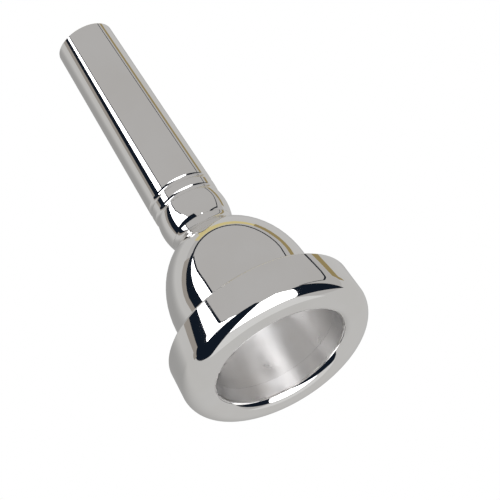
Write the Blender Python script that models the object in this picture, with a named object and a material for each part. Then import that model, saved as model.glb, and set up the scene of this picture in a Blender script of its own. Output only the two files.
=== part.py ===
"""A small-shank trombone mouthpiece in silver-plated brass, built to come apart.

Three turned pieces screw together on one axis: the rim, the cup and the shank. Each screwed joint
closes on a rubber O-ring. The mouthpiece lies level, as an instrument holds it: the cup opens
towards -Y, and the origin is on the axis where the instrument's tapered socket begins. Each piece
is turned about its own Z axis, and an empty lays them all down, so that a height along the axis,
measured from the rim's crest, becomes a distance along +Y. Sizes are in millimetres, and MM turns
them into Blender's metres. Run it with: blender --background --python part.py
"""

import math

import bmesh
import bpy

MM = 0.001
SEGMENTS = 40  # facets round every turned piece and every turn of a thread
CORNER_ANGLE = math.radians(30)  # edges sharper than this stay crisp when shaded

# Overall
OVERALL_LENGTH = 82.5
INSERTED_LENGTH = 28.5  # how much of the shank goes into the instrument's socket
SEAT_GAP = 0.10  # between faces that meet when the joint is tight

# Rim
BITE_RADIUS = 13.2  # the cup's opening, where the rim's rounding ends in it
RIM_WIDTH = 6.14  # from the bite to the widest point of the band
RIM_HEIGHT = 10.25  # from the crest to the back of the band
OUTER_ROLL_RADIUS = 3.7
CREST_FLAT = 0.60
BAND_TAPER = 0.39  # how much smaller in radius the band is at its back
BAND_EDGE_ROUND = 0.65
LIP_DEPTH = 4.6  # from the crest to the face that meets the cup
LIP_TAPER = 0.30  # how much the opening narrows from the bite to that face

# Cup
CUP_WALL = 1.15  # round the mouth of the bowl
CUP_DEPTH = 21.5  # half-height of the ellipse that shapes the hollow
THROAT_RADIUS = 3.35
THROAT_LEAD_REACH = 0.75  # how far outside the throat its rounded way in starts
THROAT_LEDGE = 1.3  # length of throat in the cup, up to the floor of the shank's socket
BOWL_STRAIGHT = 5.45  # straight stretch of the bowl behind the band
NECK_WALL = 1.06  # outside the crests of the shank thread
NECK_SWEEP_RADIUS = 2.5
NECK_STRAIGHT = 0.35
SPIGOT_WALL = 2.4  # from the hollow to the core of the rim thread
FLANGE_THICKNESS = 1.35
FLANGE_REACH = 0.95  # how far the flange stands out past the thread

# Shank
SOCKET_DEPTH = 4.8
SHANK_TAPER = 0.025  # radius lost for each millimetre of length
SHANK_RADIUS = 6.64  # where the taper starts
BEAD_LENGTH = 5.5
BEAD_BULGE = 0.38
GROOVE_WIDTH = 1.15
GROOVE_DEPTH = 0.20
GROOVE_PITCH = 2.65
GROOVE_COUNT = 2
END_WALL = 0.85
END_CHAMFER = 0.25
THROAT_LENGTH = 7.0

# Threads, right-handed
PITCH = 1.0
THREAD_DEPTH = 0.45 * PITCH
TOOTH_BASE = 0.72 * PITCH
TOOTH_CREST = 0.26 * PITCH
THREAD_CLEARANCE = 0.08  # on the flanks and over the crests
BORE_CLEARANCE = 0.15  # between the core of one thread and the crests of the other
THREAD_RELIEF = 0.55  # plain stretch at each end of a male thread
FEMALE_LEAD = 0.25  # how much deeper a female thread starts than the male one in it
TOOTH_ROOT_SINK = 0.12  # how far a ridge's foot is sunk into the core it stands on
FADE_STEPS = 8  # facets over which a thread rises at its start and sinks at its end
SHANK_NOSE_WALL = 1.4  # from the throat to the core of the shank thread

# O-rings
RIM_SEAL_SECTION = 0.9
SHANK_SEAL_SECTION = 0.7
SEAL_CLEARANCE = 0.08  # round a ring in its groove
SEAL_SIDES = 8

# Places along the axis and radii that follow from the sizes above
RIM_RADIUS = BITE_RADIUS + RIM_WIDTH
BITE_ROUND = RIM_WIDTH - OUTER_ROLL_RADIUS - CREST_FLAT  # from the crest down into the cup
MOUTH_RADIUS = BITE_RADIUS - LIP_TAPER
BOWL_RADIUS = MOUTH_RADIUS + CUP_WALL
CUP_Z = LIP_DEPTH + SEAT_GAP
RIM_CORE_RADIUS = MOUTH_RADIUS + SPIGOT_WALL
FLANGE_RADIUS = RIM_CORE_RADIUS + THREAD_DEPTH + FLANGE_REACH
FLANGE_BACK = RIM_HEIGHT - CUP_Z
FLANGE_FRONT = FLANGE_BACK - FLANGE_THICKNESS
RIM_RECESS_Z = CUP_Z + FLANGE_FRONT - SEAT_GAP
HOLLOW_SWEEP = math.acos((THROAT_RADIUS + THROAT_LEAD_REACH) / MOUTH_RADIUS)
HOLLOW_END_SLOPE = math.atan(MOUTH_RADIUS / CUP_DEPTH * math.tan(HOLLOW_SWEEP))
THROAT_LEAD_RADIUS = THROAT_LEAD_REACH / (1 - math.cos(HOLLOW_END_SLOPE))
THROAT_START = CUP_DEPTH * math.sin(HOLLOW_SWEEP) + THROAT_LEAD_RADIUS * math.sin(HOLLOW_END_SLOPE)
SOCKET_FLOOR = THROAT_START + THROAT_LEDGE
SOCKET_MOUTH = SOCKET_FLOOR + SOCKET_DEPTH
SHANK_Z = CUP_Z + SOCKET_MOUTH + SEAT_GAP
SHANK_CORE_RADIUS = THROAT_RADIUS + SHANK_NOSE_WALL
NECK_RADIUS = SHANK_CORE_RADIUS + THREAD_DEPTH + NECK_WALL
NOSE_LENGTH = SOCKET_DEPTH  # the nose clears the socket's floor by the gap at the seat
SHANK_LENGTH = OVERALL_LENGTH - SHANK_Z
RIM_SEAL_RADIUS = (MOUTH_RADIUS + RIM_CORE_RADIUS) / 2
SHANK_SEAL_RADIUS = (THROAT_RADIUS + SHANK_CORE_RADIUS) / 2

SILVER = (0.93, 0.92, 0.90, 1.0)
RUBBER = (0.015, 0.015, 0.016, 1.0)


def clear_scene():
    for obj in list(bpy.data.objects):
        bpy.data.objects.remove(obj)


def material(name, colour, metallic, roughness):
    made = bpy.data.materials.new(name)
    made.use_nodes = True
    shader = made.node_tree.nodes["Principled BSDF"]
    shader.inputs["Base Color"].default_value = colour
    shader.inputs["Metallic"].default_value = metallic
    shader.inputs["Roughness"].default_value = roughness
    return made


def make_axis():
    """The empty that every piece hangs on. It turns their heights along Z to run along +Y."""
    axis = bpy.data.objects.new("axis", None)
    bpy.context.scene.collection.objects.link(axis)
    axis.rotation_euler.x = math.radians(-90)
    axis.location.y = (INSERTED_LENGTH - OVERALL_LENGTH) * MM


def place(obj, z):
    """Puts an object at a height on the axis."""
    obj.parent = bpy.data.objects["axis"]
    obj.location.z = z * MM


def arc(centre, radius, start, end, steps, radius_z=None):
    """Points (r, z) round a centre, angles in degrees from +r towards +z, both ends included.
    With radius_z it is a stretch of an ellipse."""
    radius_z = radius if radius_z is None else radius_z
    angles = [math.radians(start + (end - start) * i / steps) for i in range(steps + 1)]
    return [(centre[0] + radius * math.cos(a), centre[1] + radius_z * math.sin(a)) for a in angles]


def bulge(start, end, height, steps):
    """Points (r, z) of a circular arc from start to end that stands out, or with a negative
    height dips in, by height at its middle."""
    chord = math.dist(start, end)
    radius = (chord**2 / 4 + height**2) / (2 * height)
    half = math.asin(chord / 2 / abs(radius))
    along = ((end[0] - start[0]) / chord, (end[1] - start[1]) / chord)
    out = (abs(along[1]), -along[0] * math.copysign(1, along[1]))
    middle = ((start[0] + end[0]) / 2, (start[1] + end[1]) / 2)
    points = []
    for i in range(steps + 1):
        turn = half * (2 * i / steps - 1)
        side = abs(radius) * math.sin(turn)
        rise = radius * math.cos(turn) - (radius - height)
        points.append(
            (middle[0] + along[0] * side + out[0] * rise, middle[1] + along[1] * side + out[1] * rise)
        )
    return points


def finished_object(name, bm, z):
    """Makes the object of a closed mesh, shaded smooth but for its corners."""
    bmesh.ops.recalc_face_normals(bm, faces=bm.faces)
    mesh = bpy.data.meshes.new(name)
    bm.to_mesh(mesh)
    bm.free()
    mesh.shade_smooth()
    mesh.set_sharp_from_angle(angle=CORNER_ANGLE)
    obj = bpy.data.objects.new(name, mesh)
    bpy.context.scene.collection.objects.link(obj)
    place(obj, z)
    return obj


def lathe(name, outline, z, finish):
    """Turns a closed outline of (r, z) points round the Z axis."""
    bm = bmesh.new()
    ring = [bm.verts.new((r * MM, 0.0, h * MM)) for r, h in outline]
    edges = [bm.edges.new((a, b)) for a, b in zip(ring, ring[1:] + ring[:1])]
    bmesh.ops.spin(
        bm,
        geom=ring + edges,
        cent=(0.0, 0.0, 0.0),
        axis=(0.0, 0.0, 1.0),
        angle=math.tau,
        steps=SEGMENTS,
        use_merge=True,
    )
    obj = finished_object(name, bm, z)
    obj.data.materials.append(finish)
    return obj


def tooth_half_width(radius, core_radius):
    """Half the width of a thread's ridge at a radius. The flanks are straight."""
    slope = (TOOTH_BASE - TOOTH_CREST) / 2 / THREAD_DEPTH
    return TOOTH_BASE / 2 - (radius - core_radius) * slope


def thread_ridge(name, core_radius, foot_radius, z_from, z_to, z, grow=0.0):
    """One helical ridge, a closed solid that fades in at its foot radius and out again. All ridges
    of one core radius are in step, because each passes angle 0 at a whole number of pitches."""
    first, last = (round(h / PITCH * SEGMENTS) for h in (z_from, z_to))
    bm = bmesh.new()
    rings = []
    for i in range(first, last + 1):
        angle = math.tau * i / SEGMENTS
        height = PITCH * i / SEGMENTS
        fade = min(1.0, (i - first) / FADE_STEPS, (last - i) / FADE_STEPS)
        low_radius = foot_radius + TOOTH_ROOT_SINK / 2
        top_radius = low_radius + (core_radius + THREAD_DEPTH + grow - low_radius) * fade
        foot = tooth_half_width(foot_radius, core_radius) + grow
        top = tooth_half_width(top_radius - grow, core_radius) + grow
        corners = ((foot_radius, -foot), (top_radius, -top), (top_radius, top), (foot_radius, foot))
        rings.append(
            [
                bm.verts.new(
                    (r * math.cos(angle) * MM, r * math.sin(angle) * MM, (height + h) * MM)
                )
                for r, h in corners
            ]
        )
    for ring, following in zip(rings, rings[1:]):
        for k in range(4):
            bm.faces.new((ring[k], ring[k - 1], following[k - 1], following[k]))
    bm.faces.new(rings[0])
    bm.faces.new(reversed(rings[-1]))
    obj = finished_object(name, bm, z)
    obj.hide_render = True
    obj.display_type = "WIRE"
    return obj


def combine(obj, tool, operation):
    boolean = obj.modifiers.new(tool.name, "BOOLEAN")
    boolean.operation = operation
    boolean.object = tool


def add_male_thread(obj, core_radius, z_from, z_to):
    ridge = thread_ridge(
        obj.name + "_ridge",
        core_radius,
        core_radius - TOOTH_ROOT_SINK,
        z_from,
        z_to,
        obj.location.z / MM,
    )
    combine(obj, ridge, "UNION")


def cut_female_thread(obj, core_radius, z_from, z_to, z):
    """Cuts the groove that takes the ridge of the same core radius, with clearance all round."""
    cutter = thread_ridge(
        obj.name + "_thread_cutter",
        core_radius,
        core_radius + BORE_CLEARANCE - TOOTH_ROOT_SINK,
        z_from,
        z_to,
        z,
        THREAD_CLEARANCE,
    )
    combine(obj, cutter, "DIFFERENCE")


def seal_groove_size(section):
    """Width and depth of the groove that holds an O-ring level with the face it is cut in."""
    return section + 2 * SEAL_CLEARANCE, section + SEAL_CLEARANCE


def rim_outline():
    """The rim's section, from the back of the band down its outside, over the crest and up the
    opening, then the seal groove, the threaded bore and the recess for the cup's flange."""
    band_back = RIM_RADIUS - BAND_TAPER
    edge = arc(
        (band_back - BAND_EDGE_ROUND, RIM_HEIGHT - BAND_EDGE_ROUND), BAND_EDGE_ROUND, 90, 0, 4
    )
    roll = arc((RIM_RADIUS - OUTER_ROLL_RADIUS, OUTER_ROLL_RADIUS), OUTER_ROLL_RADIUS, 0, -90, 7)
    bite = arc((BITE_RADIUS + BITE_ROUND, BITE_ROUND), BITE_ROUND, -90, -180, 7)
    width, depth = seal_groove_size(RIM_SEAL_SECTION)
    bore = RIM_CORE_RADIUS + BORE_CLEARANCE
    recess = FLANGE_RADIUS + SEAT_GAP
    back = [
        (MOUTH_RADIUS, LIP_DEPTH),
        (RIM_SEAL_RADIUS - width / 2, LIP_DEPTH),
        (RIM_SEAL_RADIUS - width / 2, LIP_DEPTH - depth),
        (RIM_SEAL_RADIUS + width / 2, LIP_DEPTH - depth),
        (RIM_SEAL_RADIUS + width / 2, LIP_DEPTH),
        (bore, LIP_DEPTH),
        (bore, RIM_RECESS_Z),
        (recess, RIM_RECESS_Z),
        (recess, RIM_HEIGHT),
    ]
    return edge + roll + bite + back


def make_rim(finish):
    rim = lathe("rim", rim_outline(), 0.0, finish)
    start = THREAD_RELIEF - FEMALE_LEAD
    cut_female_thread(rim, RIM_CORE_RADIUS, start, FLANGE_FRONT + PITCH, CUP_Z)


def dome_for_slope(slope):
    """The ellipse that shapes the bowl and the point where it leaves it at a slope, such that the
    sweep that follows ends just short of the socket's mouth: half-height, r and z of the point."""
    dome_z = FLANGE_BACK + BOWL_STRAIGHT
    leave_z = SOCKET_MOUTH - NECK_STRAIGHT - NECK_SWEEP_RADIUS * math.sin(slope)
    rise = leave_z - dome_z
    spread = BOWL_RADIUS / math.tan(slope)
    half_height = math.sqrt(rise**2 / 2 + rise * math.sqrt(rise**2 / 4 + spread**2))
    leave_r = BOWL_RADIUS * math.sqrt(1 - (rise / half_height) ** 2)
    return half_height, leave_r, leave_z


def slope_at_neck():
    """The slope at which the bowl gives way to its sweep, found by halving the range until the
    sweep ends at the neck's radius."""
    low, high = math.radians(5), math.radians(85)
    for _ in range(40):
        slope = (low + high) / 2
        leave_r = dome_for_slope(slope)[1]
        if leave_r - NECK_SWEEP_RADIUS * (1 - math.cos(slope)) > NECK_RADIUS:
            low = slope
        else:
            high = slope
    return slope


def bowl_outline():
    """The bowl's outside, from the neck down to the flange, as (r, z) points above the spigot."""
    slope = slope_at_neck()
    half_height, leave_r, leave_z = dome_for_slope(slope)
    leave_degrees = math.degrees(math.acos(leave_r / BOWL_RADIUS))
    dome = arc((0.0, FLANGE_BACK + BOWL_STRAIGHT), BOWL_RADIUS, leave_degrees, 0, 9, half_height)
    sweep_centre = (NECK_RADIUS + NECK_SWEEP_RADIUS, leave_z + NECK_SWEEP_RADIUS * math.sin(slope))
    sweep = arc(sweep_centre, NECK_SWEEP_RADIUS, -180, math.degrees(slope) - 180, 4)
    return [(NECK_RADIUS, SOCKET_MOUTH)] + sweep + dome[1:] + [(BOWL_RADIUS, FLANGE_BACK)]


def cup_outline():
    """The cup's section: bowl, flange and spigot outside, then the hollow, throat and socket."""
    spigot = [
        (FLANGE_RADIUS, FLANGE_BACK),
        (FLANGE_RADIUS, FLANGE_FRONT),
        (RIM_CORE_RADIUS, FLANGE_FRONT),
        (RIM_CORE_RADIUS, 0.0),
    ]
    hollow = arc((0.0, 0.0), MOUTH_RADIUS, 0, math.degrees(HOLLOW_SWEEP), 9, CUP_DEPTH)
    lead_centre = (THROAT_RADIUS + THROAT_LEAD_RADIUS, THROAT_START)
    lead_start = math.degrees(HOLLOW_END_SLOPE) - 180
    lead = arc(lead_centre, THROAT_LEAD_RADIUS, lead_start, -180, 3)[1:]
    bore = SHANK_CORE_RADIUS + BORE_CLEARANCE
    width, depth = seal_groove_size(SHANK_SEAL_SECTION)
    socket = [
        (THROAT_RADIUS, SOCKET_FLOOR),
        (SHANK_SEAL_RADIUS - width / 2, SOCKET_FLOOR),
        (SHANK_SEAL_RADIUS - width / 2, SOCKET_FLOOR - depth),
        (SHANK_SEAL_RADIUS + width / 2, SOCKET_FLOOR - depth),
        (SHANK_SEAL_RADIUS + width / 2, SOCKET_FLOOR),
        (bore, SOCKET_FLOOR),
        (bore, SOCKET_MOUTH),
    ]
    return bowl_outline() + spigot + hollow + lead + socket


def make_cup(finish):
    cup = lathe("cup", cup_outline(), CUP_Z, finish)
    add_male_thread(cup, RIM_CORE_RADIUS, THREAD_RELIEF, FLANGE_FRONT - THREAD_RELIEF)
    start = THREAD_RELIEF - FEMALE_LEAD - NOSE_LENGTH
    cut_female_thread(cup, SHANK_CORE_RADIUS, start, PITCH, SHANK_Z)


def groove_outline(middle_z, radius):
    """A shallow round groove turned in the shank, from its upper edge to its lower one."""
    return bulge(
        (radius, middle_z + GROOVE_WIDTH / 2),
        (radius, middle_z - GROOVE_WIDTH / 2),
        -GROOVE_DEPTH,
        4,
    )


def shank_outline():
    """The shank's section, from its far end down the taper, over the grooves and the bead to the
    seat and the threaded nose, then up the throat and the backbore. Heights are above the seat."""
    taper_start = BEAD_LENGTH + GROOVE_WIDTH + (GROOVE_COUNT - 1) * GROOVE_PITCH
    end_radius = SHANK_RADIUS - SHANK_TAPER * (SHANK_LENGTH - taper_start)
    taper = [
        (end_radius - END_CHAMFER, SHANK_LENGTH),
        (end_radius, SHANK_LENGTH - END_CHAMFER),
    ]
    grooves = []
    for i in reversed(range(GROOVE_COUNT)):
        grooves += groove_outline(BEAD_LENGTH + GROOVE_WIDTH / 2 + i * GROOVE_PITCH, SHANK_RADIUS)
    bead = bulge((SHANK_RADIUS, BEAD_LENGTH), (NECK_RADIUS, 0.0), BEAD_BULGE, 8)
    nose = [
        (SHANK_CORE_RADIUS, 0.0),
        (SHANK_CORE_RADIUS, -NOSE_LENGTH),
    ]
    bore = [
        (THROAT_RADIUS, -NOSE_LENGTH),
        (THROAT_RADIUS, THROAT_LENGTH - NOSE_LENGTH),
        (end_radius - END_WALL, SHANK_LENGTH),
    ]
    return taper + grooves + bead[1:] + nose + bore


def make_shank(finish):
    shank = lathe("shank", shank_outline(), SHANK_Z, finish)
    add_male_thread(shank, SHANK_CORE_RADIUS, THREAD_RELIEF - NOSE_LENGTH, -THREAD_RELIEF)


def make_seal(name, radius, section, z, finish):
    bpy.ops.mesh.primitive_torus_add(
        major_radius=radius * MM,
        minor_radius=section / 2 * MM,
        major_segments=SEGMENTS,
        minor_segments=SEAL_SIDES,
    )
    seal = bpy.context.object
    seal.name = name
    place(seal, z)
    seal.data.materials.append(finish)
    seal.data.shade_smooth()


def main():
    clear_scene()
    make_axis()
    silver = material("silver_plate", SILVER, 1.0, 0.08)
    rubber = material("seal_rubber", RUBBER, 0.0, 0.6)
    make_rim(silver)
    make_cup(silver)
    make_shank(silver)
    rim_seal_z = LIP_DEPTH - RIM_SEAL_SECTION / 2
    shank_seal_z = CUP_Z + SOCKET_FLOOR - SHANK_SEAL_SECTION / 2
    make_seal("rim_seal", RIM_SEAL_RADIUS, RIM_SEAL_SECTION, rim_seal_z, rubber)
    make_seal("shank_seal", SHANK_SEAL_RADIUS, SHANK_SEAL_SECTION, shank_seal_z, rubber)


main()
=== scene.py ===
# %% [markdown]
# # A trombone mouthpiece that unscrews
#
# The real thing is three turned pieces of brass, silver plated and polished: a rim, a cup and a
# shank. They screw together, and each joint closes on a rubber ring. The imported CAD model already
# holds every size and every joint, so this script leaves it where it is and dresses it: each CAD
# node gets a finely turned piece in its place and a finish that behaves like plated silver. Round
# them stands a small studio, because its lights are what a mirror-bright object really shows.

import math

import bpy
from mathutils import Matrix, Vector


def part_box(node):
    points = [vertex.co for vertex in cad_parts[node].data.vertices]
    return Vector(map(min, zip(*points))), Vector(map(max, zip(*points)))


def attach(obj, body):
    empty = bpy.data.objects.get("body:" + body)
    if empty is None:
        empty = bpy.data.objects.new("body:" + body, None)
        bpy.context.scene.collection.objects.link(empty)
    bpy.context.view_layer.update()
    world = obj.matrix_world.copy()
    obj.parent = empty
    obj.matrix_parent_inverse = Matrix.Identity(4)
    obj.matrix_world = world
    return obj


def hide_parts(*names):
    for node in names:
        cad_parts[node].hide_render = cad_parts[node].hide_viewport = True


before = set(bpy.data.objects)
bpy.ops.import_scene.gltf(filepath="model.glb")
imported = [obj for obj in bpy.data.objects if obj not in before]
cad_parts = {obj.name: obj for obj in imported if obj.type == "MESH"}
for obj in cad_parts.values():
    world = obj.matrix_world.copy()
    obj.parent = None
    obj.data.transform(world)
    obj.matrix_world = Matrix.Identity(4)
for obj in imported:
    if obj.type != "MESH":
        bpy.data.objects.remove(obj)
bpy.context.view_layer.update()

# %% [markdown]
# ## Places along the axis
#
# The mouthpiece lies level with its axis on +Y, so the lathe axis is the Y axis and a place on any
# piece is two numbers: a radius and a y. The ends of each piece are read from the CAD boxes. All
# other sizes are the maker's own, in millimetres, the same ones that the CAD model is built from.

# %% Read the ends and radii of the pieces
MM = 0.001


def ends(node):
    """Where a CAD node begins and ends along Y, and its largest radius, in millimetres."""
    low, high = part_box(node)
    return low.y / MM, high.y / MM, high.x / MM


CREST, BAND_BACK, RIM_RADIUS = ends("rim")
SPIGOT_FRONT, CUP_BACK, FLANGE_RADIUS = ends("cup")
NOSE_FRONT, SHANK_END, _ = ends("shank")
print("crest", round(CREST, 3), "cup", round(SPIGOT_FRONT, 3), round(CUP_BACK, 3), "end", SHANK_END)

# %% [markdown]
# ## The camera
#
# The player's side faces us: the camera looks down into the cup from the front left, with the
# shank running away to the upper left. A long lens from nearly a metre keeps the round rim from
# bulging. The camera is aimed beside the rim, so that the whole shank has room.

# %% Place the camera
CAMERA_AZIMUTH = math.radians(-27.48)
CAMERA_ELEVATION = math.radians(55.85)
CAMERA_DISTANCE = 0.9
CAMERA_LENS = 350
AIM_RIGHT = -5.70 * MM
AIM_UP = 19.80 * MM
AIM_DEPTH = 1.04  # behind the crest
MOUTH_CENTRE = Vector((0, (CREST + AIM_DEPTH) * MM, 0))

to_camera = Vector(
    (
        math.sin(CAMERA_AZIMUTH) * math.cos(CAMERA_ELEVATION),
        -math.cos(CAMERA_AZIMUTH) * math.cos(CAMERA_ELEVATION),
        math.sin(CAMERA_ELEVATION),
    )
)
turn = to_camera.to_track_quat("Z", "Y")
aim = MOUTH_CENTRE + turn @ Vector((AIM_RIGHT, AIM_UP, 0))
bpy.ops.object.select_all(action="DESELECT")
bpy.ops.object.camera_add(location=aim + to_camera * CAMERA_DISTANCE, rotation=turn.to_euler())
camera = bpy.context.object
camera.name = "camera"
camera.data.lens = CAMERA_LENS
camera.data.sensor_width = 36
camera.data.clip_start = 0.01
camera.data.clip_end = 20
bpy.context.scene.camera = camera
bpy.context.scene.view_settings.view_transform = "Standard"
print("camera at", [round(c, 4) for c in camera.location])

# %% [markdown]
# ## The studio
#
# A polished mouthpiece has hardly a colour of its own: it shows the room. So the studio is built
# as for any silverware. A large soft grey canopy hangs overhead, white boards and black flags
# stand round it, and the black edges between them are what draws the form. The camera doesn't see
# a card itself, only its reflection, so it can stand anywhere. Even the lights are glowing cards,
# because a lamp would show on the silver as a hard spot. The camera itself sees a plain white
# room.

# %% Surfaces that glow
def glow(name, colour, strength=1.0):
    """A surface that gives off an even light of that colour."""
    material = bpy.data.materials.new(name)
    material.use_nodes = True
    nodes = material.node_tree.nodes
    nodes.remove(nodes["Principled BSDF"])
    emission = nodes.new("ShaderNodeEmission")
    emission.inputs["Color"].default_value = (*colour, 1)
    emission.inputs["Strength"].default_value = strength
    output = nodes["Material Output"]
    material.node_tree.links.new(emission.outputs["Emission"], output.inputs["Surface"])
    return material


def seen_by(obj, camera, reflections):
    """Sets whether the camera or only the silver sees a piece of the studio, and that it casts no
    shadow.
    """
    obj.visible_camera = camera
    obj.visible_glossy = reflections
    obj.visible_diffuse = reflections
    obj.visible_transmission = reflections
    obj.visible_shadow = False


# %% Colours and strengths of the studio
CANOPY_GREY = (0.452, 0.444, 0.441)
PAPER_WHITE = (1.0, 1.0, 1.0)
BOARD_WHITE = (0.965, 0.97, 1.0)
TABLE_GREY = (0.50, 0.496, 0.492)
FLAG_BLACK = (0.006, 0.010, 0.018)
# Painted shade: the same brass as the bright brass below, at about half its brightness
SHADED_BRASS = (0.30, 0.235, 0.11)
# Painted shade: a dim brownish glow for a darker band in the reflections
SHADE_BROWN = (0.31, 0.285, 0.26)
BRIGHT_BRASS = (0.62, 0.53, 0.26)
BOARD_STRENGTH = 3.4  # so that the brushed hollow gets its light too
FRONT_STRENGTH = 0.66

world = bpy.data.worlds.new("canopy")
world.use_nodes = True
world.node_tree.nodes["Background"].inputs["Color"].default_value = (*CANOPY_GREY, 1)
bpy.context.scene.world = world
white_glow = glow("white_paper", PAPER_WHITE)
board_glow = glow("white_board", BOARD_WHITE, BOARD_STRENGTH)
front_glow = glow("front_sheet", PAPER_WHITE, FRONT_STRENGTH)
black_glow = glow("black_flag", FLAG_BLACK)
brass_glow = glow("shaded_brass", SHADED_BRASS)
bright_brass_glow = glow("bright_brass", BRIGHT_BRASS)
brown_shade_glow = glow("painted_brown_shade", SHADE_BROWN)
table_glow = glow("table_grey", TABLE_GREY)
print("canopy grey:", CANOPY_GREY, "boards:", BOARD_STRENGTH, "times white")


# %% Shade the table
def shade_round(material, centre, near, far, dim, bright):
    """Dims a glow about a spot, from bright at the far distance down to dim at the near one."""
    tree = material.node_tree
    place = tree.nodes.new("ShaderNodeTexCoord")
    away = tree.nodes.new("ShaderNodeVectorMath")
    away.operation = "DISTANCE"
    away.inputs[1].default_value = centre
    rise = tree.nodes.new("ShaderNodeMapRange")
    rise.interpolation_type = "SMOOTHSTEP"
    rise.inputs["From Min"].default_value = near
    rise.inputs["From Max"].default_value = far
    rise.inputs["To Min"].default_value = dim
    rise.inputs["To Max"].default_value = bright
    tree.links.new(place.outputs["Object"], away.inputs[0])
    tree.links.new(away.outputs["Value"], rise.inputs["Value"])
    tree.links.new(rise.outputs["Result"], tree.nodes["Emission"].inputs["Strength"])


SHADOW_SPOT = (-0.07, 0.10, 0)  # the table is a little darker behind and left of the mouthpiece
shade_round(table_glow, SHADOW_SPOT, near=0.04, far=0.27, dim=0.68, bright=1.06)
print("table dims about", SHADOW_SPOT)

# %% Floor, table and backdrop
FLOOR_DEPTH = 0.16
ROOM_RADIUS = 2.6
ROOM_SIDES = 64
BACKDROP_RINGS = 24


def level_disc(name, finish):
    """A great round sheet, level with the floor."""
    bpy.ops.object.select_all(action="DESELECT")
    bpy.ops.mesh.primitive_circle_add(
        vertices=ROOM_SIDES, radius=ROOM_RADIUS, fill_type="NGON", location=(0, 0, -FLOOR_DEPTH)
    )
    disc = bpy.context.object
    disc.name = name
    disc.data.materials.append(finish)
    return disc


floor = level_disc("floor", white_glow)
seen_by(floor, camera=True, reflections=False)
table = level_disc("table", table_glow)
seen_by(table, camera=False, reflections=True)

bpy.ops.object.select_all(action="DESELECT")
bpy.ops.mesh.primitive_uv_sphere_add(
    segments=BACKDROP_RINGS * 2, ring_count=BACKDROP_RINGS, radius=ROOM_RADIUS
)
backdrop = bpy.context.object
backdrop.name = "backdrop"
backdrop.data.materials.append(white_glow)
seen_by(backdrop, camera=True, reflections=False)
print("room:", [o.name for o in (floor, table, backdrop)])

# %% [markdown]
# ## Boards, flags and edges
#
# Each card is given by its lower and its upper edge, as directions seen from the mouthpiece:
# degrees round from the shank's end (+Y) towards +X, and degrees above the level of the axis. What
# a turned surface shows can then be read off like a map, and a card is moved by a few degrees
# until its reflection lies right. White boards stand left and behind, black flags beside them, and
# thin black edges frame the canopy. The brass cards stand for the instrument that a mouthpiece is
# mostly seen with; the dimmer of them is painted shade on its brass. The brown card is painted
# shade: a dim brownish band in the reflection, just below the black strip on the left.


# %% How a card is hung
STUDIO_CENTRE = Vector((0, CUP_BACK * MM, 0))
CARD_DISTANCE = 0.80
LINE_DISTANCE = 0.78  # thin black edges hang just in front of the boards
# The brown card of painted shade hangs just behind the boards
BROWN_SHADE_DISTANCE = 0.82  # a brown edge stands just behind them


def towards(round_degrees, up_degrees):
    """The direction that lies so far round from +Y towards +X, and so far up."""
    a, e = math.radians(round_degrees), math.radians(up_degrees)
    return Vector((math.sin(a) * math.cos(e), math.cos(a) * math.cos(e), math.sin(e)))


def card(name, finish, lower, upper, distance=CARD_DISTANCE):
    """Stretches a card between a lower and an upper edge of the same number of directions."""
    bpy.ops.object.select_all(action="DESELECT")
    bpy.ops.mesh.primitive_grid_add(x_subdivisions=len(lower) - 1, y_subdivisions=1)
    made = bpy.context.object
    made.name = name
    for vertex, direction in zip(made.data.vertices, lower + upper):
        vertex.co = STUDIO_CENTRE + towards(*direction) * distance
    made.data.materials.append(finish)
    seen_by(made, camera=False, reflections=True)
    print("card:", name, "at", distance, "m")


# %% White boards and black flags
card(
    "left_board",
    board_glow,
    [(-88, 15), (-60, 13), (-45, 10.5), (-28, 8.5)],
    [(-88, 58), (-57, 31), (-42, 20), (-26, 10)],
)
card(
    "back_board",
    board_glow,
    [(118, 48), (150, 25), (180, 27), (218, 22)],
    [(110, 76), (150, 80), (180, 80), (208, 78)],
)
card("left_flag", black_glow, [(-140, -8), (-88, -8)], [(-150, 80), (-88, 80)])
card("right_flag", black_glow, [(103, -7), (150, 22)], [(95, 45), (107, 58)])
card(
    "left_strip",
    black_glow,
    [(-88, -6), (-60, -3), (-44, 0.5), (-22, 4.5)],
    [(-88, 15), (-60, 13), (-43, 10.5), (-20, 8)],
)

# %% Thin edges, cards for the instrument, and a card of painted shade
card(
    "canopy_edge",
    black_glow,
    [(-44, 6.5), (-28, 6), (-10, 3.2), (10, 1.6), (30, 0.3), (60, 4.6), (84, 18), (97, 50)],
    [(-43, 10.5), (-28, 8.8), (-10, 6.2), (10, 3.9), (30, 2.6), (60, 6.9), (82, 20), (94, 50)],
    LINE_DISTANCE,
)
card(
    "canopy_side",
    black_glow,
    [(-27, 8.8), (-42, 18.6), (-57, 29.5), (-83, 50)],
    [(-25, 10.2), (-40, 20.4), (-55, 31.8), (-79, 51.5)],
    LINE_DISTANCE,
)
# Painted shade: a dim brownish band that darkens the reflection just below the black left strip
card(
    "brown_shade_card",
    brown_shade_glow,
    [(-88, -11), (-60, -11), (-44, -9), (-28, -5)],
    [(-88, -5), (-60, -2), (-44, 1), (-26, 3)],
    BROWN_SHADE_DISTANCE,
)
card("front_sheet", front_glow, [(140, -14), (180, -16), (222, -12)], [(152, 22), (180, 26), (220, 20)])
# The dimmer brass card is painted shade, a shaded copy of the bright brass card below it
card("shaded_brass", brass_glow, [(38, -20), (50, -20), (75, -18)], [(38, -4), (50, -3), (75, -4)])
card("bright_brass", bright_brass_glow, [(-8, -5), (10, -8), (38, -10)], [(-8, 2), (10, 1), (38, -4)])

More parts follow.
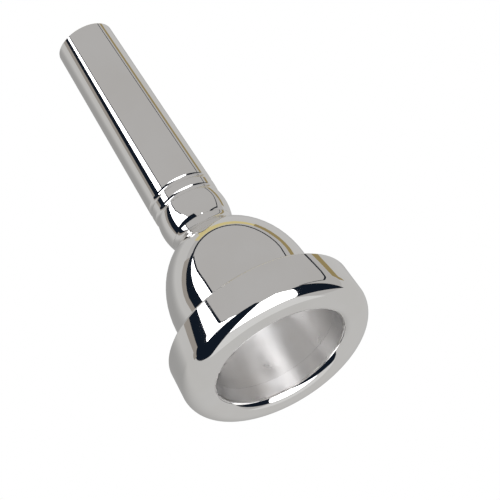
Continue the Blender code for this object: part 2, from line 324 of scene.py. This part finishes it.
# %% [markdown]
# ## Finishes
#
# Silver plate over brass is a bare metal, so each finish is one metallic shader. What tells the
# finishes apart is how they were worked. The outside is buffed to a mirror, with nothing left but
# the faintest waviness and a few hazy wipes. The hollow is only brushed on the lathe, so it is
# soft and carries fine rings, and light stretches across them. The sockets are left as the boring
# tool leaves them. The rings are a pattern that reads the distance from the axis and the place
# along it, so it runs round each piece by itself.


# %% Nodes that every metal finish shares
def lathe_coordinates(tree):
    """A vector of radius and place along Y, the same all round the axis."""
    place = tree.nodes.new("ShaderNodeTexCoord")
    split = tree.nodes.new("ShaderNodeSeparateXYZ")
    across = tree.nodes.new("ShaderNodeCombineXYZ")
    length = tree.nodes.new("ShaderNodeVectorMath")
    joined = tree.nodes.new("ShaderNodeCombineXYZ")
    length.operation = "LENGTH"
    tree.links.new(place.outputs["Object"], split.inputs["Vector"])
    tree.links.new(split.outputs["X"], across.inputs["X"])
    tree.links.new(split.outputs["Z"], across.inputs["Z"])
    tree.links.new(across.outputs["Vector"], length.inputs[0])
    tree.links.new(length.outputs["Value"], joined.inputs["X"])
    tree.links.new(split.outputs["Y"], joined.inputs["Y"])
    return place.outputs["Object"], joined.outputs["Vector"]


def noise(tree, vector, size, detail=2.0):
    """A noise whose blotches or lines are about that many metres across."""
    node = tree.nodes.new("ShaderNodeTexNoise")
    node.inputs["Scale"].default_value = 1 / size
    node.inputs["Detail"].default_value = detail
    tree.links.new(vector, node.inputs["Vector"])
    return node.outputs["Fac"]


def spread(tree, value, low, high):
    """Stretches the middle of a noise over a range."""
    node = tree.nodes.new("ShaderNodeMapRange")
    node.inputs["From Min"].default_value = 0.3
    node.inputs["From Max"].default_value = 0.7
    node.inputs["To Min"].default_value = low
    node.inputs["To Max"].default_value = high
    tree.links.new(value, node.inputs["Value"])
    return node.outputs["Result"]


def blend_colours(tree, amount, first, second):
    """Mixes two colours by a value from 0 to 1."""
    node = tree.nodes.new("ShaderNodeMix")
    node.data_type = "RGBA"
    node.inputs["A"].default_value = (*first, 1)
    node.inputs["B"].default_value = (*second, 1)
    tree.links.new(amount, node.inputs["Factor"])
    return node.outputs["Result"]


def bump(tree, height, depth, normal=None):
    """Turns a height from 0 to 1 into a relief of that many metres."""
    node = tree.nodes.new("ShaderNodeBump")
    node.inputs["Distance"].default_value = depth
    tree.links.new(height, node.inputs["Height"])
    if normal:
        tree.links.new(normal, node.inputs["Normal"])
    return node.outputs["Normal"]


# %% Silver plate
WIPE_SIZE = 9 * MM
HAZE_SIZE = 3 * MM
WAVE_SIZE = 7 * MM
WAVE_DEPTH = 4e-6
ACROSS_THE_LINES = 0.25  # of a turn


def silver_plate(name, tones, roughness, line_width, line_depth, stretch=0.0):
    """Plated silver: two tones that it wanders between, a range of roughness, and lathe lines."""
    material = bpy.data.materials.new(name)
    material.use_nodes = True
    tree = material.node_tree
    shader = tree.nodes["Principled BSDF"]
    shader.inputs["Metallic"].default_value = 1.0
    shader.inputs["Anisotropic"].default_value = stretch
    shader.inputs["Anisotropic Rotation"].default_value = ACROSS_THE_LINES if stretch else 0.0
    place, lathe = lathe_coordinates(tree)
    wipes = spread(tree, noise(tree, place, WIPE_SIZE, 4.0), 0.0, 1.0)
    lines = noise(tree, lathe, line_width, 1.0)
    haze = spread(tree, noise(tree, place, HAZE_SIZE, 3.0), *roughness)
    tree.links.new(blend_colours(tree, wipes, *tones), shader.inputs["Base Color"])
    tree.links.new(haze, shader.inputs["Roughness"])
    waves = bump(tree, noise(tree, place, WAVE_SIZE, 0.0), WAVE_DEPTH)
    tree.links.new(bump(tree, lines, line_depth, waves), shader.inputs["Normal"])
    if stretch:
        tangent = tree.nodes.new("ShaderNodeTangent")
        tangent.direction_type = "RADIAL"
        tangent.axis = "Y"
        tree.links.new(tangent.outputs["Tangent"], shader.inputs["Tangent"])
    return material


# %% Buffed, brushed and bored silver
MIRROR_TONES = (0.93, 0.925, 0.91), (0.90, 0.888, 0.865)
SATIN_TONES = (0.93, 0.925, 0.92), (0.84, 0.823, 0.805)
BORED_TONES = (0.78, 0.76, 0.73), (0.62, 0.59, 0.55)

MIRROR_ROUGHNESS = 0.025, 0.055
SATIN_ROUGHNESS = 0.27, 0.36
BORED_ROUGHNESS = 0.22, 0.34

mirror = silver_plate(
    "mirror_silver", MIRROR_TONES, MIRROR_ROUGHNESS, line_width=0.15 * MM, line_depth=2e-7
)
satin = silver_plate(
    "brushed_silver", SATIN_TONES, SATIN_ROUGHNESS, line_width=0.12 * MM, line_depth=2e-6, stretch=0.8
)
bored = silver_plate(
    "bored_silver", BORED_TONES, BORED_ROUGHNESS, line_width=0.25 * MM, line_depth=6e-6
)
print("finishes:", mirror.name, satin.name, bored.name)

# %% Black rubber
BLOOM_SIZE = 1.5 * MM
GRAIN_SIZE = 0.08 * MM
GRAIN_DEPTH = 4e-6
RUBBER_TONES = (0.012, 0.012, 0.013), (0.030, 0.029, 0.028)
RUBBER_ROUGHNESS = 0.45, 0.62


def ring_rubber():
    """Moulded nitrile rubber: nearly black, matt, with a bloom of paler dust and a fine grain."""
    material = bpy.data.materials.new("seal_rubber")
    material.use_nodes = True
    tree = material.node_tree
    shader = tree.nodes["Principled BSDF"]
    place, _ = lathe_coordinates(tree)
    bloom = spread(tree, noise(tree, place, BLOOM_SIZE, 4.0), 0.0, 1.0)
    tree.links.new(blend_colours(tree, bloom, *RUBBER_TONES), shader.inputs["Base Color"])
    tree.links.new(spread(tree, bloom, *RUBBER_ROUGHNESS), shader.inputs["Roughness"])
    grain = noise(tree, place, GRAIN_SIZE)
    tree.links.new(bump(tree, grain, GRAIN_DEPTH), shader.inputs["Normal"])
    return material


rubber = ring_rubber()
print("finish:", rubber.name)

# %% [markdown]
# ## Turning
#
# Every piece comes off a lathe, and Blender's spin does what a lathe does: half of the section is
# drawn beside the axis and swept round it. The section is drawn as by hand, by extruding a single
# vertex from point to point. Corners that a buffing wheel would touch are broken with a small
# vertex bevel while the section is still a line, which is far cleaner than bevelling edges later.

# %% Curves for the sections
ARC_STEP = 5.0  # degrees between the points of an arc


def arc(centre, radius, start, end, along=None):
    """Points (radius, y) round a centre, from one angle to another in degrees, from +r to +y."""
    along = radius if along is None else along
    count = max(3, round(abs(end - start) / ARC_STEP))
    angles = [math.radians(start + (end - start) * i / count) for i in range(count + 1)]
    return [(centre[0] + radius * math.cos(a), centre[1] + along * math.sin(a)) for a in angles]


def barrel(start, end, height, count):
    """Points (radius, y) of a round bulge, or hollow if height is negative, between two points."""
    chord = math.dist(start, end)
    radius = (chord**2 / 4 + height**2) / (2 * height)
    half = math.asin(chord / 2 / abs(radius))
    along = Vector(end) - Vector(start)
    along.normalize()
    out = Vector((abs(along.y), -along.x * math.copysign(1, along.y)))
    middle = (Vector(start) + Vector(end)) / 2
    points = []
    for i in range(count + 1):
        swing = half * (2 * i / count - 1)
        rise = radius * math.cos(swing) - (radius - height)
        points.append(tuple(middle + along * abs(radius) * math.sin(swing) + out * rise))
    return points


print("a quarter round has", len(arc((0, 0), 1, 0, 90)), "points")

# %% Draw an outline
SAME_PLACE = 1e-3  # millimetres


def draw_outline(name, outline):
    """Draws a closed outline of (radius, y) points by extruding one vertex along it."""
    bpy.ops.object.select_all(action="DESELECT")
    bpy.ops.mesh.primitive_plane_add(size=MM, location=(0, 0, 0))
    drawn = bpy.context.object
    drawn.name = name
    bpy.ops.object.mode_set(mode="EDIT")
    bpy.ops.mesh.merge(type="CENTER")
    r, y = outline[0]
    bpy.ops.transform.translate(value=(r * MM, y * MM, 0))
    for (r0, y0), (r1, y1) in zip(outline, outline[1:]):
        step = ((r1 - r0) * MM, (y1 - y0) * MM, 0)
        bpy.ops.mesh.extrude_region_move(TRANSFORM_OT_translate={"value": step})
    select_vertices(drawn, [outline[0], outline[-1]])
    bpy.ops.mesh.edge_face_add()
    return drawn


def select_vertices(drawn, places):
    """Selects the vertices of a drawn outline at these (radius, y) places."""
    bpy.ops.mesh.select_all(action="DESELECT")
    bpy.ops.object.mode_set(mode="OBJECT")
    for vertex in drawn.data.vertices:
        r, y = vertex.co.x / MM, vertex.co.y / MM
        vertex.select = any(math.dist((r, y), place) < SAME_PLACE for place in places)
    bpy.ops.object.mode_set(mode="EDIT")


# %% Break its corners and spin it
SEGMENTS = 192
CORNER_SIZE = 0.1
CORNER_STEPS = 3
WELD = 1e-7
SHARP_ANGLE = math.radians(30)


def turned(name, outline, corners=(), corner_size=CORNER_SIZE):
    """Draws an outline, rounds these of its corners, and spins it into a closed solid."""
    piece = draw_outline(name, outline)
    if corners:
        select_vertices(piece, corners)
        bpy.ops.mesh.bevel(offset=corner_size * MM, segments=CORNER_STEPS, affect="VERTICES")
    bpy.ops.mesh.select_all(action="SELECT")
    bpy.ops.mesh.spin(steps=SEGMENTS, angle=math.tau, center=(0, 0, 0), axis=(0, 1, 0))
    bpy.ops.mesh.select_all(action="SELECT")
    bpy.ops.mesh.remove_doubles(threshold=WELD)
    bpy.ops.mesh.normals_make_consistent(inside=False)
    bpy.ops.object.mode_set(mode="OBJECT")
    bpy.ops.object.shade_smooth_by_angle(angle=SHARP_ANGLE)
    print(name, "turned:", len(piece.data.polygons), "faces")
    return piece


# %% [markdown]
# ## Threads
#
# Both joints are cut with the same right-handed thread of one millimetre pitch. Its tooth is drawn
# as a small trapezium and swept by a Screw modifier, then sunk into the metal at both ends, as a
# tool that is fed in and drawn out leaves it. The male thread is joined to its spigot. The female
# one is the same ridge, a little fatter, cut out of the bore, so the two clear each other.

# %% Sizes of the thread
PITCH = 1.0
THREAD_DEPTH = 0.45 * PITCH
TOOTH_BASE = 0.72 * PITCH
TOOTH_CREST = 0.26 * PITCH
TOOTH_CORNERS = 4
TOOTH_SINK = 0.12  # how deep the foot of the tooth is sunk into the core
THREAD_CLEARANCE = 0.08
BORE_CLEARANCE = 0.15
THREAD_RELIEF = 0.55  # plain stretch at each end of a male thread
FEMALE_LEAD = 0.25  # how much sooner the female thread starts
FADE_DEGREES = 70
print("thread: pitch", PITCH, "depth", THREAD_DEPTH, "mm")


# %% Sweep a thread
def thread_ridge(name, core, start, end, grow=0.0, foot=None):
    """One ridge round a core of that radius, which passes +X at whole pitches from y zero."""
    foot = core - TOOTH_SINK if foot is None else foot
    flank = (TOOTH_BASE - TOOTH_CREST) / 2 / THREAD_DEPTH
    wide = TOOTH_BASE / 2 + (core - foot) * flank + grow
    narrow = TOOTH_CREST / 2 + grow
    top = core + THREAD_DEPTH + grow
    tooth = [(foot, start - wide), (top, start - narrow), (top, start + narrow), (foot, start + wide)]
    ridge = draw_outline(name, tooth)
    bpy.ops.object.mode_set(mode="OBJECT")
    turns = (end - start) / PITCH
    bpy.ops.object.modifier_add(type="SCREW")
    screw = ridge.modifiers["Screw"]
    screw.axis = "Y"
    screw.angle = math.tau * turns
    screw.screw_offset = (end - start) * MM
    screw.steps = screw.render_steps = round(SEGMENTS * turns)
    bpy.ops.object.modifier_apply(modifier="Screw")
    sink_ends(ridge, foot + TOOTH_SINK / 2, top)
    bpy.ops.object.mode_set(mode="EDIT")
    bpy.ops.mesh.select_all(action="DESELECT")
    bpy.ops.mesh.select_non_manifold()
    bpy.ops.mesh.edge_face_add()
    bpy.ops.mesh.select_all(action="SELECT")
    bpy.ops.mesh.normals_make_consistent(inside=False)
    bpy.ops.object.mode_set(mode="OBJECT")
    return ridge


def sink_ends(ridge, low, top):
    """Lets a ridge rise out of the core at its start and sink back into it at its end."""
    fade_rings = SEGMENTS * FADE_DEGREES / 360
    last = len(ridge.data.vertices) // TOOTH_CORNERS - 1
    for index, vertex in enumerate(ridge.data.vertices):
        ring, corner = divmod(index, TOOTH_CORNERS)
        if corner in (1, 2):  # the two corners of the tooth's crest
            share = min(1.0, ring / fade_rings, (last - ring) / fade_rings)
            radius = low + (top - low) * share
            across = Vector((vertex.co.x, 0, vertex.co.z)).normalized() * radius * MM
            vertex.co.x, vertex.co.z = across.x, across.z


# %% Join a thread, or cut it out
def combine(piece, tool, operation):
    """Adds a tool to a piece, or cuts it out, and throws the tool away."""
    bpy.ops.object.select_all(action="DESELECT")
    piece.select_set(True)
    bpy.context.view_layer.objects.active = piece
    bpy.ops.object.modifier_add(type="BOOLEAN")
    boolean = piece.modifiers["Boolean"]
    boolean.operation = operation
    boolean.object = tool
    bpy.ops.object.modifier_apply(modifier="Boolean")
    bpy.ops.object.shade_smooth_by_angle(angle=SHARP_ANGLE)
    print(piece.name, operation.lower(), tool.name, "gives", len(piece.data.polygons), "faces")
    bpy.data.objects.remove(tool)


# %% Give a stretch of a piece its own finish
def finish(piece, main, others=()):
    """Puts the main finish on a piece, and another on the faces that each test picks. A test gets
    a face's radius and y in millimetres, and how far it faces outwards, from -1 to 1."""
    piece.data.materials.append(main)
    for index, (material, picks) in enumerate(others, start=1):
        piece.data.materials.append(material)
        for face in piece.data.polygons:
            out = Vector((face.center.x, 0, face.center.z))
            if picks(out.length / MM, face.center.y / MM, face.normal.dot(out.normalized())):
                face.material_index = index


# %% [markdown]
# ## The rim
#
# The rim is what the lips rest on, so its curves matter more than anything else: a rounded crest,
# a firm bite where it turns down into the cup, and a broad roll to the outside. Behind it runs a
# slightly tapered band. Inside are the female thread, the groove for the rubber ring and a recess
# that takes the cup's flange.

# %% Sizes of the rim
BITE_RADIUS = 13.2
OUTER_ROLL = 3.7
CREST_FLAT = 0.60
BITE_ROUND = RIM_RADIUS - OUTER_ROLL - CREST_FLAT - BITE_RADIUS
BAND_TAPER = 0.39
BAND_EDGE = 0.65
LIP_TAPER = 0.30
SPIGOT_WALL = 2.4
FLANGE_THICKNESS = 1.35
HAIRLINE = 0.02  # between faces that are screwed up tight
SEAL_CLEARANCE = 0.08
RIM_SEAL_SECTION = 0.9
RIM_CORNER_SIZE = 0.08

MOUTH_RADIUS = BITE_RADIUS - LIP_TAPER
RIM_CORE = MOUTH_RADIUS + SPIGOT_WALL
RECESS_RADIUS = FLANGE_RADIUS + HAIRLINE * 2
FLANGE_FRONT = BAND_BACK - FLANGE_THICKNESS
LIP_BACK = SPIGOT_FRONT - HAIRLINE
BAND_BACK_RADIUS = RIM_RADIUS - BAND_TAPER
print("opening", BITE_RADIUS * 2, "bite round", round(BITE_ROUND, 2), "thread core", RIM_CORE)


# %% The rim's section
def groove(middle, section, face, into):
    """The four points of a ring's groove, from its inner to its outer edge, cut into a face."""
    half = section / 2 + SEAL_CLEARANCE
    depth = (section + SEAL_CLEARANCE) * into
    inner, outer = middle - half, middle + half
    return [(inner, face), (inner, face + depth), (outer, face + depth), (outer, face)]


def rim_section():
    """From the back of the band over the crest to the bite, and back through the bore."""
    edge = [(BAND_BACK_RADIUS - BAND_EDGE, BAND_BACK), (BAND_BACK_RADIUS, BAND_BACK - BAND_EDGE)]
    roll = arc((RIM_RADIUS - OUTER_ROLL, CREST + OUTER_ROLL), OUTER_ROLL, 0, -90)
    bite = arc((BITE_RADIUS + BITE_ROUND, CREST + BITE_ROUND), BITE_ROUND, -90, -180)
    bore = RIM_CORE + BORE_CLEARANCE
    seal_radius = (MOUTH_RADIUS + RIM_CORE) / 2
    step = FLANGE_FRONT - HAIRLINE
    inside = [(MOUTH_RADIUS, LIP_BACK)]
    inside += groove(seal_radius, RIM_SEAL_SECTION, LIP_BACK, -1)
    inside += [(bore, LIP_BACK), (bore, step), (RECESS_RADIUS, step), (RECESS_RADIUS, BAND_BACK)]
    return edge + roll + bite + inside


print("rim section:", len(rim_section()), "points")

# %% Turn the rim and cut its thread
RIM_CORNERS = [
    (RECESS_RADIUS, BAND_BACK),
    (BAND_BACK_RADIUS - BAND_EDGE, BAND_BACK),
    (BAND_BACK_RADIUS, BAND_BACK - BAND_EDGE),
]
rim = turned("rim_body", rim_section(), RIM_CORNERS, RIM_CORNER_SIZE)
rim_cutter = thread_ridge(
    "rim_cutter",
    RIM_CORE,
    SPIGOT_FRONT + THREAD_RELIEF - FEMALE_LEAD,
    FLANGE_FRONT + PITCH,
    grow=THREAD_CLEARANCE,
    foot=RIM_CORE + BORE_CLEARANCE - TOOTH_SINK,
)
combine(rim, rim_cutter, "DIFFERENCE")

# %% Finish the rim
SLACK = 0.1  # when faces are picked by their place


def in_rim_opening(radius, y, outward):
    """The short lip behind the bite, where the hollow begins."""
    return radius < BITE_RADIUS + SLACK and y > CREST + BITE_ROUND - SLACK


def in_rim_bore(radius, y, outward):
    """The ring's groove, the thread and the recess."""
    groove_floor = LIP_BACK - RIM_SEAL_SECTION - SEAL_CLEARANCE
    return y > groove_floor - SLACK and MOUTH_RADIUS + SLACK < radius < FLANGE_RADIUS


finish(rim, mirror, [(satin, in_rim_opening), (bored, in_rim_bore)])
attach(rim, "rim")
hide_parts("rim")
print("rim finishes:", [slot.name for slot in rim.data.materials])

# %% [markdown]
# ## The cup
#
# The cup is a bowl with a neck. Its hollow is part of an ellipse that runs into the throat by a
# small round. The outside follows the hollow at first, straight behind the band and then domed,
# and sweeps out of the dome into the neck, where the shank screws in. At the front it has a
# flange that stops in the rim's recess and a spigot with the male thread.

# %% Sizes of the cup
CUP_WALL = 1.15
CUP_DEPTH = 21.5
THROAT_RADIUS = 3.35
LEAD_REACH = 0.75
BOWL_STRAIGHT = 5.45
NECK_WALL = 1.06
NECK_SWEEP = 2.5
NECK_STRAIGHT = 0.35
NOSE_WALL = 1.4
SOCKET_DEPTH = 4.8
SHANK_SEAL_SECTION = 0.7
JOINT_GAP = 0.10  # how far behind the cup's back the CAD model's shank is seated

BOWL_RADIUS = MOUTH_RADIUS + CUP_WALL
SHANK_CORE = THROAT_RADIUS + NOSE_WALL
NECK_RADIUS = SHANK_CORE + THREAD_DEPTH + NECK_WALL
SOCKET_FLOOR = CUP_BACK - SOCKET_DEPTH
SEAT = CUP_BACK + JOINT_GAP
NECK_BACK = SEAT - HAIRLINE
print("bowl", round(BOWL_RADIUS, 2), "neck", round(NECK_RADIUS, 2), "seat at", round(SEAT, 2))


# %% Where the dome gives way to the neck
FLATTEST = math.radians(5)
STEEPEST = math.radians(85)
HALVINGS = 40


def dome_for_slope(slope):
    """The ellipse of the dome and the point where it gives way to the sweep at that slope."""
    dome_y = BAND_BACK + BOWL_STRAIGHT
    leave_y = CUP_BACK - NECK_STRAIGHT - NECK_SWEEP * math.sin(slope)
    rise = leave_y - dome_y
    spread_out = BOWL_RADIUS / math.tan(slope)
    half_height = math.sqrt(rise**2 / 2 + rise * math.sqrt(rise**2 / 4 + spread_out**2))
    return half_height, BOWL_RADIUS * math.sqrt(1 - (rise / half_height) ** 2), leave_y


def slope_at_neck():
    """Halves the range of slopes until the sweep ends at the neck's radius."""
    low, high = FLATTEST, STEEPEST
    for _ in range(HALVINGS):
        slope = (low + high) / 2
        if dome_for_slope(slope)[1] - NECK_SWEEP * (1 - math.cos(slope)) > NECK_RADIUS:
            low = slope
        else:
            high = slope
    return slope


print("slope at the neck:", round(math.degrees(slope_at_neck()), 2), "degrees")


# %% The cup's section
def bowl_section():
    """The outside, from the neck's back to the band."""
    slope = slope_at_neck()
    half_height, leave_r, leave_y = dome_for_slope(slope)
    leave_angle = math.degrees(math.acos(leave_r / BOWL_RADIUS))
    sweep_centre = (NECK_RADIUS + NECK_SWEEP, leave_y + NECK_SWEEP * math.sin(slope))
    sweep = arc(sweep_centre, NECK_SWEEP, -180, math.degrees(slope) - 180)
    dome = arc((0, BAND_BACK + BOWL_STRAIGHT), BOWL_RADIUS, leave_angle, 0, half_height)
    return [(NECK_RADIUS, NECK_BACK)] + sweep + dome[1:] + [(BOWL_RADIUS, BAND_BACK)]


def hollow_section():
    """The inside, from the spigot's front to the throat."""
    sweep = math.acos((THROAT_RADIUS + LEAD_REACH) / MOUTH_RADIUS)
    slope = math.atan(MOUTH_RADIUS / CUP_DEPTH * math.tan(sweep))
    lead = LEAD_REACH / (1 - math.cos(slope))
    throat_y = SPIGOT_FRONT + CUP_DEPTH * math.sin(sweep) + lead * math.sin(slope)
    hollow = arc((0, SPIGOT_FRONT), MOUTH_RADIUS, 0, math.degrees(sweep), CUP_DEPTH)
    return hollow + arc((THROAT_RADIUS + lead, throat_y), lead, math.degrees(slope) - 180, -180)[1:]


def cup_section():
    """Bowl, flange and spigot outside, then the hollow, the throat and the shank's socket."""
    front = [
        (FLANGE_RADIUS, BAND_BACK),
        (FLANGE_RADIUS, FLANGE_FRONT),
        (RIM_CORE, FLANGE_FRONT),
        (RIM_CORE, SPIGOT_FRONT),
    ]
    bore = SHANK_CORE + BORE_CLEARANCE
    seal_radius = (THROAT_RADIUS + SHANK_CORE) / 2
    socket = [(THROAT_RADIUS, SOCKET_FLOOR)]
    socket += groove(seal_radius, SHANK_SEAL_SECTION, SOCKET_FLOOR, -1)
    socket += [(bore, SOCKET_FLOOR), (bore, NECK_BACK)]
    return bowl_section() + front + hollow_section() + socket


print("cup section:", len(cup_section()), "points")

# %% Turn the cup and cut its threads
CUP_CORNERS = [
    (FLANGE_RADIUS, BAND_BACK),
    (FLANGE_RADIUS, FLANGE_FRONT),
    (RIM_CORE, SPIGOT_FRONT),
    (SHANK_CORE + BORE_CLEARANCE, NECK_BACK),
]
cup = turned("cup_body", cup_section(), CUP_CORNERS)
rim_thread = thread_ridge(
    "rim_thread", RIM_CORE, SPIGOT_FRONT + THREAD_RELIEF, FLANGE_FRONT - THREAD_RELIEF
)
combine(cup, rim_thread, "UNION")
cup_cutter = thread_ridge(
    "cup_cutter",
    SHANK_CORE,
    SEAT - SOCKET_DEPTH + THREAD_RELIEF - FEMALE_LEAD,
    SEAT + PITCH,
    grow=THREAD_CLEARANCE,
    foot=SHANK_CORE + BORE_CLEARANCE - TOOTH_SINK,
)
combine(cup, cup_cutter, "DIFFERENCE")

# %% Finish the cup
BORED_THROAT = 1.0  # the last stretch of the throat is bored together with the socket


def in_hollow(radius, y, outward):
    """The bowl-shaped inside and the first part of the throat."""
    return outward < 0 and radius < MOUTH_RADIUS + SLACK and y < SOCKET_FLOOR - BORED_THROAT


def in_socket(radius, y, outward):
    """The socket for the shank, its thread and the ring's groove."""
    thread_top = SHANK_CORE + THREAD_DEPTH + BORE_CLEARANCE * 2
    return radius < thread_top and SOCKET_FLOOR - BORED_THROAT <= y < NECK_BACK - SLACK


finish(cup, mirror, [(satin, in_hollow), (bored, in_socket)])
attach(cup, "cup")
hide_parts("cup")
print("cup finishes:", [slot.name for slot in cup.data.materials])

# %% [markdown]
# ## The shank
#
# The shank is the tapered tube that wedges in the instrument. It starts with a barrel-shaped bead,
# which gives the fingers a grip, and two shallow turned grooves. Its nose carries the thread for
# the cup, and the bore widens gently all the way to the far end.

# %% Sizes of the shank
SHANK_TAPER = 0.025  # of radius for each millimetre of length
SHANK_RADIUS = 6.64
BEAD_LENGTH = 5.5
BEAD_BULGE = 0.38
BEAD_STEPS = 24
GROOVE_WIDTH = 1.15
GROOVE_DEPTH = 0.20
GROOVE_PITCH = 2.65
GROOVE_COUNT = 2
GROOVE_STEPS = 12
END_WALL = 0.85
THROAT_LENGTH = 7.0
SHANK_CORNER_SIZE = 0.2

TAPER_START = SEAT + BEAD_LENGTH + GROOVE_WIDTH + (GROOVE_COUNT - 1) * GROOVE_PITCH
END_RADIUS = SHANK_RADIUS - SHANK_TAPER * (SHANK_END - TAPER_START)
print("taper from", SHANK_RADIUS * 2, "to", round(END_RADIUS * 2, 2), "mm across")


# %% The shank's section
def shank_section():
    """From the far end down the taper, over grooves and bead to the nose, and back up the bore."""
    outside = [(END_RADIUS, SHANK_END)]
    for i in reversed(range(GROOVE_COUNT)):
        near = SEAT + BEAD_LENGTH + i * GROOVE_PITCH
        far = near + GROOVE_WIDTH
        outside += barrel((SHANK_RADIUS, far), (SHANK_RADIUS, near), -GROOVE_DEPTH, GROOVE_STEPS)
    bead_back, bead_front = (SHANK_RADIUS, SEAT + BEAD_LENGTH), (NECK_RADIUS, SEAT)
    outside += barrel(bead_back, bead_front, BEAD_BULGE, BEAD_STEPS)[1:]
    nose = [(SHANK_CORE, SEAT), (SHANK_CORE, NOSE_FRONT)]
    bore = [
        (THROAT_RADIUS, NOSE_FRONT),
        (THROAT_RADIUS, NOSE_FRONT + THROAT_LENGTH),
        (END_RADIUS - END_WALL, SHANK_END),
    ]
    return outside + nose + bore


print("shank section:", len(shank_section()), "points")

# %% Turn the shank and add its thread
SHANK_CORNERS = [
    (END_RADIUS, SHANK_END),
    (END_RADIUS - END_WALL, SHANK_END),
    (SHANK_CORE, NOSE_FRONT),
]
shank = turned("shank_body", shank_section(), SHANK_CORNERS, SHANK_CORNER_SIZE)
shank_thread = thread_ridge(
    "shank_thread", SHANK_CORE, NOSE_FRONT + THREAD_RELIEF, SEAT - THREAD_RELIEF
)
combine(shank, shank_thread, "UNION")

# %% Finish the shank
FACES_AXIS = -0.9


def on_nose(radius, y, outward):
    """Everything in front of the seat."""
    return y < SEAT - SLACK


def in_backbore(radius, y, outward):
    """The bore, the only part that faces straight at the axis."""
    return outward < FACES_AXIS


finish(shank, mirror, [(bored, on_nose), (bored, in_backbore)])
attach(shank, "shank")
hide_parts("shank")
print("shank finishes:", [slot.name for slot in shank.data.materials])

# %% [markdown]
# ## The rubber rings
#
# An O-ring is a plain round cord of rubber in a circle, but a moulded one gives itself away by the
# fine flash line that its mould leaves round the inside and the outside. Each ring lies in its
# groove, so its place and thickness are read from its CAD box.

# %% Mould the rings
FLASH = 0.03
RING_SIDES = 48


def moulded_ring(name, node):
    """A ring of round section, with the mould's flash standing out on both sides."""
    low, high, outer = ends(node)
    radius = (high - low) / 2
    middle = ((outer - radius), (low + high) / 2)
    section = []
    for i in range(RING_SIDES):
        angle = math.tau * i / RING_SIDES
        out = radius - FLASH + (FLASH if i in (0, RING_SIDES // 2) else 0.0)
        section.append((middle[0] + out * math.cos(angle), middle[1] + out * math.sin(angle)))
    ring = turned(name, section)
    finish(ring, rubber)
    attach(ring, node)
    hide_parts(node)


moulded_ring("rim_ring", "rim_seal")
moulded_ring("shank_ring", "shank_seal")
